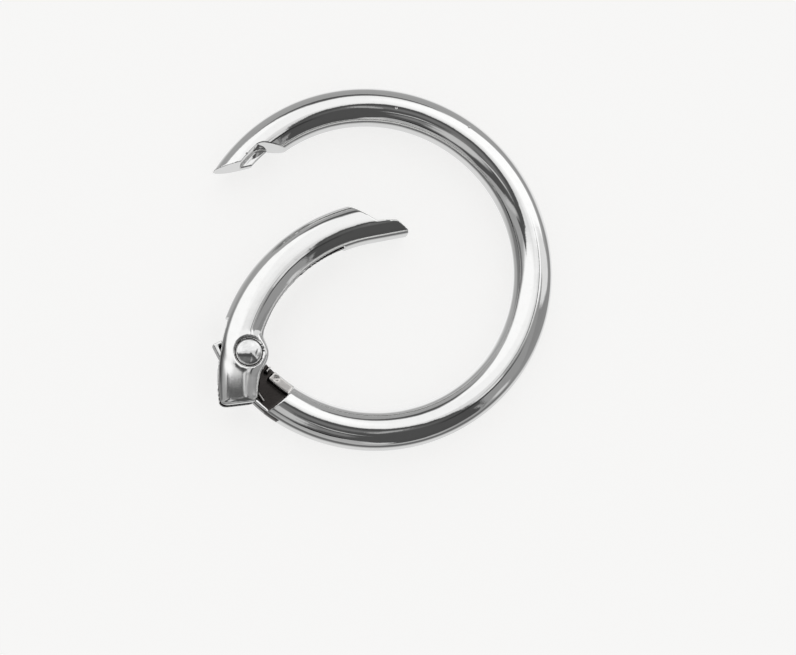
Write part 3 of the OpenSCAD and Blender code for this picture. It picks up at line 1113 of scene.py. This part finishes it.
class Effects:
    """Node groups that several finishes share, built once."""

    def __init__(self) -> None:
        """Builds the groups."""
        self.casting = self._casting()
        self.wire = self._wire()

    @staticmethod
    def _casting() -> Tree:
        """Returns the surface of a plated casting: slow waves, fine grain, pinholes and dull patches."""
        g, given = Graph.group(
            "plated_casting",
            {"Place": "Vector", "Waves": "Float", "Grain": "Float", "Pinholes": "Float"},
            ("Height", "Pinhole", "Dull"),
        )
        place = given["Place"]
        slow = g.math("SUBTRACT", g.noise(place, 0.42, 1.5)[0], 0.5)
        fine = g.math("SUBTRACT", g.noise(place, 5.5, 3.0)[0], 0.5)
        cells = g.add("TexVoronoi", {"Vector": place, "Scale": 0.62}, feature="F1").outputs
        chance = g.add("SeparateColor", {0: cells["Color"]}).outputs[0]
        near = g.ramp(cells["Distance"], 0.085, 0.035)
        hole = g.math("MULTIPLY", near, g.math("LESS_THAN", chance, given["Pinholes"]))
        waves, grain = g.math("MULTIPLY", slow, given["Waves"]), g.math("MULTIPLY", fine, given["Grain"])
        height = g.math("SUBTRACT", g.math("ADD", waves, grain), g.math("MULTIPLY", hole, 0.05))
        dull = g.ramp(g.noise(place, 1.3, 4.0, 0.62)[0], 0.45, 0.72)
        return g.close({"Height": height, "Pinhole": hole, "Dull": dull})

    @staticmethod
    def _wire() -> Tree:
        """Returns the fine drawn lines of a steel wire or a turned head."""
        g, given = Graph.group("drawn_steel", {"Place": "Vector", "Scale": "Float"}, ("Height", "Lines"))
        stretched = g.vector("MULTIPLY", given["Place"], (1.0, 1.0, 4.0))
        lines = g.noise(stretched, given["Scale"], 4.0)[0]
        height = g.math("MULTIPLY", g.math("SUBTRACT", lines, 0.5), 0.004)
        return g.close({"Height": height, "Lines": g.ramp(lines, 0.35, 0.7)})


@dataclass(frozen=True)
class Finish:
    """A metal finish, whose pattern follows the piece's own coordinates."""

    name: str

    def make(self, effects: Effects) -> Material:
        """Returns the material.

        Args:
            effects: the shared node groups.
        """
        material = bpy.data.materials.new(self.name)
        material.use_nodes = True
        g = Graph(material.node_tree)
        place = g.vector("SCALE", g.add("TexCoord").outputs["Object"], scale=1 / MM)
        colour, roughness, height = self.surface(g, place, effects)
        bump = g.add("Bump", {"Distance": MM, "Strength": 1.0, "Height": height})
        g.feed(
            material.node_tree.nodes["Principled BSDF"],
            {"Base Color": colour, "Roughness": roughness, "Metallic": 1.0, "Normal": bump.outputs[0]},
        )
        return material

    def surface(self, g: Graph, place: Socket, effects: Effects) -> tuple[Socket, Socket, Socket]:
        """Returns the finish's colour, roughness and height."""
        raise NotImplementedError


@dataclass(frozen=True)
class Plating(Finish):
    """Bright nickel-chrome plating over a die casting, or near-black plating that paints the shade deep in its
    recesses.
    """

    colour: Colour = (0.9, 0.9, 0.895, 1.0)
    dulled: Colour = (0.7, 0.69, 0.68, 1.0)
    dull_share: float = 0.12
    roughness: float = 0.045
    spread: float = 0.06
    waves: float = 0.02
    grain: float = 0.0012
    pinholes: float = 0.14
    handled: Optional[Point] = None
    handled_reach: float = 2.4
    haze: float = 0.1

    def surface(self, g: Graph, place: Socket, effects: Effects) -> tuple[Socket, Socket, Socket]:
        """Returns colour, roughness and height, with worn patches and a hazier zone where it is handled."""
        settings = {"Place": place, "Waves": self.waves, "Grain": self.grain, "Pinholes": self.pinholes}
        cast = g.add("Group", settings, node_tree=effects.casting).outputs
        worn = g.math("ADD", g.math("MULTIPLY", cast["Dull"], self.dull_share), cast["Pinhole"])
        roughness = g.math("MULTIPLY_ADD", worn, self.spread, self.roughness)
        if self.handled:
            apart = g.vector("MULTIPLY", g.vector("SUBTRACT", place, (*self.handled, 0.0)), (1.0, 1.0, 0.0))
            touched = g.ramp(g.size(apart), self.handled_reach, self.handled_reach / 2)
            roughness = g.math("MULTIPLY_ADD", touched, self.haze, roughness)
        return g.tint(worn, self.colour, self.dulled), roughness, cast["Height"]


@dataclass(frozen=True)
class Steel(Finish):
    """Drawn or headed steel, bright or brushed."""

    colour: Colour = (0.86, 0.86, 0.86, 1.0)
    shade: Colour = (0.62, 0.61, 0.6, 1.0)
    roughness: float = 0.08
    spread: float = 0.08
    scale: float = 3.0

    def surface(self, g: Graph, place: Socket, effects: Effects) -> tuple[Socket, Socket, Socket]:
        """Returns colour, roughness and height, which all follow the drawn lines."""
        drawn = g.add("Group", {"Place": place, "Scale": self.scale}, node_tree=effects.wire).outputs
        lines = drawn["Lines"]
        roughness = g.math("MULTIPLY_ADD", lines, self.spread, self.roughness)
        return g.tint(lines, self.colour, self.shade), roughness, drawn["Height"]


class Shape(Enum):
    """Outline of a patch of the surroundings."""

    ROUND = 0.0
    SQUARE = 1.0


@dataclass(frozen=True)
class Patch:
    """One soft light or dark patch of the surroundings, on a disc with the zenith or nadir in its middle."""

    u: float
    v: float
    half_u: float
    half_v: float
    value: float
    turn: float = 0.0
    soft: float = 0.1
    shape: Shape = Shape.ROUND


OVERHEAD = (
    Patch(0.0, -0.95, 0.9, 0.16, 0.42, soft=0.3),
    Patch(-0.10, 0.40, 0.50, 0.36, 0.09, soft=0.06),
    Patch(-0.05, 0.15, 0.66, 0.19, 0.76, soft=0.25),
    Patch(-0.36, 0.36, 0.48, 0.31, 1.06, soft=0.14),
    Patch(0.08, 0.36, 0.26, 0.25, 0.98, soft=0.2),
    Patch(0.44, 0.33, 0.33, 0.27, 1.1, soft=0.14),
    Patch(0.878, -0.085, 0.27, 0.24, 0.09, turn=-50.8, soft=0.03, shape=Shape.SQUARE),
    Patch(0.89, -0.08, 0.26, 0.225, 0.26, turn=-50.8, soft=0.03, shape=Shape.SQUARE),
    Patch(0.68, 0.15, 0.28, 0.12, 0.78, soft=0.2),
    Patch(0.575, -0.21, 0.34, 0.16, 0.31, turn=-45, soft=0.12, shape=Shape.SQUARE),
    Patch(0.25, -0.07, 0.12, 0.06, 0.74, turn=-30, soft=0.2),
    Patch(0.265, 0.075, 0.028, 0.1, 0.16, turn=-15, soft=0.45),
    Patch(0.80, -0.46, 0.1, 0.07, 0.62, turn=-33, soft=0.4),
    Patch(-0.175, -0.34, 0.275, 0.37, 0.08, soft=0.02, shape=Shape.SQUARE),
    Patch(-0.44, -0.33, 0.18, 0.37, 0.08, turn=-14, soft=0.05, shape=Shape.SQUARE),
    Patch(0.20, -0.47, 0.46, 0.31, 0.075, turn=-45, soft=0.03, shape=Shape.SQUARE),
    Patch(-0.05, -0.5, 0.52, 0.30, 0.08, soft=0.05),
    Patch(-0.08, -0.15, 0.27, 0.08, 0.17, soft=0.5),
    Patch(-0.31, -0.20, 0.025, 0.11, 0.6, turn=8, soft=0.4),
    Patch(0.12, -0.16, 0.02, 0.08, 0.4, turn=-8, soft=0.5),
    Patch(-0.28, -0.47, 0.17, 0.19, 0.55, soft=0.3),
    Patch(-0.07, -0.54, 0.11, 0.08, 0.2, soft=0.4),
    Patch(-0.01, -0.38, 0.09, 0.025, 0.5, turn=-20, soft=0.5),
    Patch(-0.15, -0.26, 0.05, 0.05, 0.2, soft=0.6),
    Patch(-0.17, -0.78, 0.2, 0.035, 0.02, soft=0.3),
    Patch(0.35, -0.155, 0.14, 0.04, 0.04, turn=60, soft=0.3),
    Patch(0.62, -0.48, 0.2, 0.012, 0.3, turn=-44, soft=0.4, shape=Shape.SQUARE),
    Patch(-0.60, -0.19, 0.20, 0.045, 0.5, turn=36, soft=0.4),
    Patch(-0.95, 0.10, 0.09, 0.28, 0.14, soft=0.4),
    Patch(0.17, -0.90, 0.10, 0.05, 0.6, soft=0.3),
)
BELOW = (
    Patch(0.0, -0.95, 0.9, 0.25, 0.46, soft=0.3),
    Patch(0.0, -0.16, 0.86, 0.74, 0.14, soft=0.05),
    Patch(0.0, 0.85, 0.8, 0.35, 0.38, soft=0.3),
    Patch(0.02, -0.02, 0.72, 0.66, 0.72, soft=0.16),
    Patch(0.06, 0.36, 0.34, 0.36, 0.95, soft=0.4),
    Patch(0.45, 0.25, 0.30, 0.25, 0.85, soft=0.5),
    Patch(-0.60, 0.20, 0.30, 0.35, 0.42, soft=0.5),
    Patch(-0.85, 0.05, 0.20, 0.45, 0.2, soft=0.5),
    Patch(-0.96, 0.22, 0.09, 0.16, 0.05, soft=0.2),
    Patch(0.88, -0.02, 0.22, 0.42, 0.27, soft=0.3),
)
WHITE: Colour = (1.0, 1.0, 1.0, 1.0)


@dataclass(frozen=True)
class Studio:
    """Soft studio round the ring: a north softbox, a dark south side and a pale floor."""

    lens: float = 67.871
    camera_place: Place = (-0.020923, -0.025382, 0.125298)
    camera_axes: tuple[Place, Place, Place] = (
        (0.98353729, -0.02535028, -0.1789183),
        (-0.00289858, 0.98777056, -0.1558875),
        (0.18068202, 0.15383978, 0.9714357),
    )
    floor_z: float = -1.73 * MM
    floor_size: float = 1.6
    floor_grey: Colour = (0.5, 0.5, 0.5, 1.0)
    floor_glow: Colour = (1.0, 0.995, 0.985, 1.0)
    floor_strength: float = 0.68
    upper_base: float = 0.36
    lower_base: float = 0.3
    even_light: float = 0.5
    wobble: float = 0.05

    def build(self) -> None:
        """Builds the camera, the surroundings and the floor."""
        self._camera()
        self._surroundings()
        self._floor()
        bpy.context.scene.view_settings.view_transform = "Standard"

    def _camera(self) -> None:
        """Sets the camera at the viewing angle, without shift or depth of field."""
        data = bpy.data.cameras.new("camera")
        data.sensor_fit = "HORIZONTAL"
        data.sensor_width = 36.0
        data.lens = self.lens
        data.clip_start, data.clip_end = 0.005, 10.0
        camera = bpy.data.objects.new("camera", data)
        camera.matrix_world = Matrix.Translation(self.camera_place) @ Matrix(self.camera_axes).to_4x4()
        bpy.context.scene.collection.objects.link(camera)
        bpy.context.scene.camera = camera

    @staticmethod
    def _patch_group() -> Tree:
        """Returns the group that lays one patch over what is behind it."""
        numbers = dict.fromkeys(("Turn", "Soft", "Square", "Value", "Behind"), "Float")
        places = dict.fromkeys(("Place", "Centre", "Half"), "Vector")
        g, given = Graph.group("studio_patch", {**places, **numbers}, ("Light",))
        moved = g.vector("SUBTRACT", given["Place"], given["Centre"])
        back = g.math("MULTIPLY", given["Turn"], -1.0)
        turned = g.add("VectorRotate", rotation_type="Z_AXIS")
        g.feed(turned, {"Vector": moved, "Angle": back})
        scaled = g.vector("ABSOLUTE", g.vector("DIVIDE", turned.outputs[0], given["Half"]))
        parts = g.add("SeparateXYZ", {0: scaled}).outputs
        reach = g.blend(given["Square"], g.size(scaled), g.math("MAXIMUM", parts[0], parts[1]))
        share = g.ramp(reach, g.math("ADD", 1.0, given["Soft"]), g.math("SUBTRACT", 1.0, given["Soft"]))
        return g.close({"Light": g.blend(share, given["Behind"], given["Value"])})

    def _surroundings(self) -> None:
        """Paints by direction, patch over patch, what the metal mirrors; the other light is even."""
        world = bpy.data.worlds.new("studio")
        bpy.context.scene.world = world
        world.use_nodes = True
        g = Graph(world.node_tree)
        g.tree.nodes.clear()
        towards = g.add("TexCoord").outputs["Generated"]
        x, y, z = g.add("SeparateXYZ", {0: towards}).outputs
        flat = g.math("SQRT", g.math("ADD", g.math("MULTIPLY", x, x), g.math("MULTIPLY", y, y)))
        steep = g.math("ARCCOSINE", g.math("MINIMUM", g.math("ABSOLUTE", z), 1.0))
        share = g.math("DIVIDE", g.math("DIVIDE", steep, math.pi / 2), g.math("MAXIMUM", flat, 1e-4))
        shake = g.vector("SUBTRACT", g.noise(towards, 5.0, 3.0)["Color"], (0.5, 0.5, 0.5))
        drift = g.vector("SCALE", shake, scale=self.wobble)
        disc = g.vector("ADD", g.vector("SCALE", towards, scale=share), drift)
        disc = g.vector("MULTIPLY", disc, (1.0, 1.0, 0.0))
        group = self._patch_group()
        above = self._lay(g, group, disc, OVERHEAD, self.upper_base)
        below = self._lay(g, group, disc, BELOW, self.lower_base)
        light = g.blend(g.ramp(z, -0.03, 0.03), below, above)
        either = g.add("MixShader", {0: g.add("LightPath").outputs["Is Glossy Ray"]})
        for socket, strength in ((1, self.even_light), (2, light)):
            g.feed(either, {socket: g.add("Background", {"Color": WHITE, "Strength": strength}).outputs[0]})
        g.add("OutputWorld", {0: either.outputs[0]})

    @staticmethod
    def _lay(g: Graph, group: Tree, disc: Socket, patches: Sequence[Patch], base: float) -> object:
        """Returns the light of a row of patches laid one over another.

        Args:
            g: the world's graph.
            group: the patch group.
            disc: the place on the disc.
            patches: the patches, from the back to the front.
            base: light behind them all.
        """
        light: object = base
        for patch in patches:
            sources = {
                "Place": disc,
                "Centre": (patch.u, patch.v, 0.0),
                "Half": (patch.half_u, patch.half_v, 1.0),
                "Turn": math.radians(patch.turn),
                "Soft": patch.soft,
                "Square": patch.shape.value,
                "Value": patch.value,
                "Behind": light,
            }
            light = g.add("Group", sources, node_tree=group).outputs[0]
        return light

    def _floor(self) -> None:
        """Lays the pale floor, which the plating doesn't mirror."""
        place = (0, 0, self.floor_z)
        floor = Bench.add(bpy.ops.mesh.primitive_plane_add, size=self.floor_size, location=place)
        floor.name = "studio_floor"
        floor.visible_glossy = False
        material = bpy.data.materials.new("studio_floor")
        material.use_nodes = True
        Graph(material.node_tree).feed(
            material.node_tree.nodes["Principled BSDF"],
            {
                "Base Color": self.floor_grey, "Roughness": 0.9, "Specular IOR Level": 0.0,
                "Emission Color": self.floor_glow, "Emission Strength": self.floor_strength,
            },
        )
        dress(floor, material)


BODY_PLATING = Plating("body_bright_plating")
GATE_PLATING = Plating("gate_bright_plating", waves=0.024, pinholes=0.2, handled=(-11.3, -11.2))
# Painted shade: near-black plating on the pocket, slot, channel and rivet seats stands in for the shadow in
# them.
RECESS_PAINTED_SHADE = Plating(
    "recess_painted_shade", colour=(0.055, 0.05, 0.048, 1.0), dulled=(0.015, 0.013, 0.013, 1.0),
    roughness=0.22, spread=0.25, waves=0.04, grain=0.004, pinholes=0.3,
)
FACE_PLATING = Plating(
    "tongue_satin_plating", colour=(0.72, 0.7, 0.68, 1.0), dulled=(0.42, 0.4, 0.39, 1.0),
    roughness=0.3, spread=0.15, waves=0.03, grain=0.006, pinholes=0.3,
)
RIVET_STEEL = Steel("rivet_bright_steel", shade=(0.76, 0.76, 0.76, 1.0), roughness=0.05, spread=0.05)
SPRING_STEEL = Steel(
    "spring_drawn_steel", colour=(0.5, 0.49, 0.48, 1.0), shade=(0.3, 0.29, 0.28, 1.0),
    roughness=0.28, scale=9.0,
)


def dress(piece: Solid, material: Material) -> None:
    """Gives a piece one finish all over."""
    piece.data.materials.clear()
    piece.data.materials.append(material)


def dress_where(piece: Solid, material: Material, pick: FacePick) -> None:
    """Gives some faces of a piece another finish.

    Args:
        piece: the piece.
        material: the finish.
        pick: test on a face's centre, in millimetres, and its normal.
    """
    piece.data.materials.append(material)
    index = len(piece.data.materials) - 1
    for face in piece.data.polygons:
        if pick(face.center / MM, face.normal):
            face.material_index = index


def main() -> None:
    """Builds the studio and the four pieces, dresses them and reports each one."""
    logging.basicConfig(level=logging.INFO, format="%(message)s")
    Studio().build()
    effects = Effects()
    body, gate, rivet, spring = Body(), Gate(), Rivet(), Spring()
    # Near-black painted shade for the faces down in the recesses.
    recess_shade = RECESS_PAINTED_SHADE.make(effects)
    dress(body.build(), BODY_PLATING.make(effects))
    dress_where(body.piece, FACE_PLATING.make(effects), body.on_tongue)
    dress_where(body.piece, recess_shade, body.in_painted_shade)
    dress(gate.build(), GATE_PLATING.make(effects))
    dress_where(gate.piece, recess_shade, gate.in_painted_shade)
    dress(rivet.build(), RIVET_STEEL.make(effects))
    dress(spring.build(), SPRING_STEEL.make(effects))
    for piece, node, carrier, slot in (
        (body.piece, "ring_body", "ring", "body_plating"),
        (gate.piece, "gate", "gate", "gate_plating"),
        (rivet.piece, "rivet", "gate", "rivet_steel"),
    ):
        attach(piece, carrier)
        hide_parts(node)
    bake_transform(spring.piece)
    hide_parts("spring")
    for piece in (body.piece, gate.piece, rivet.piece, spring.piece):
        log.info("%s: %d faces", piece.name, len(piece.data.polygons))


if __name__ == "__main__":
    main()
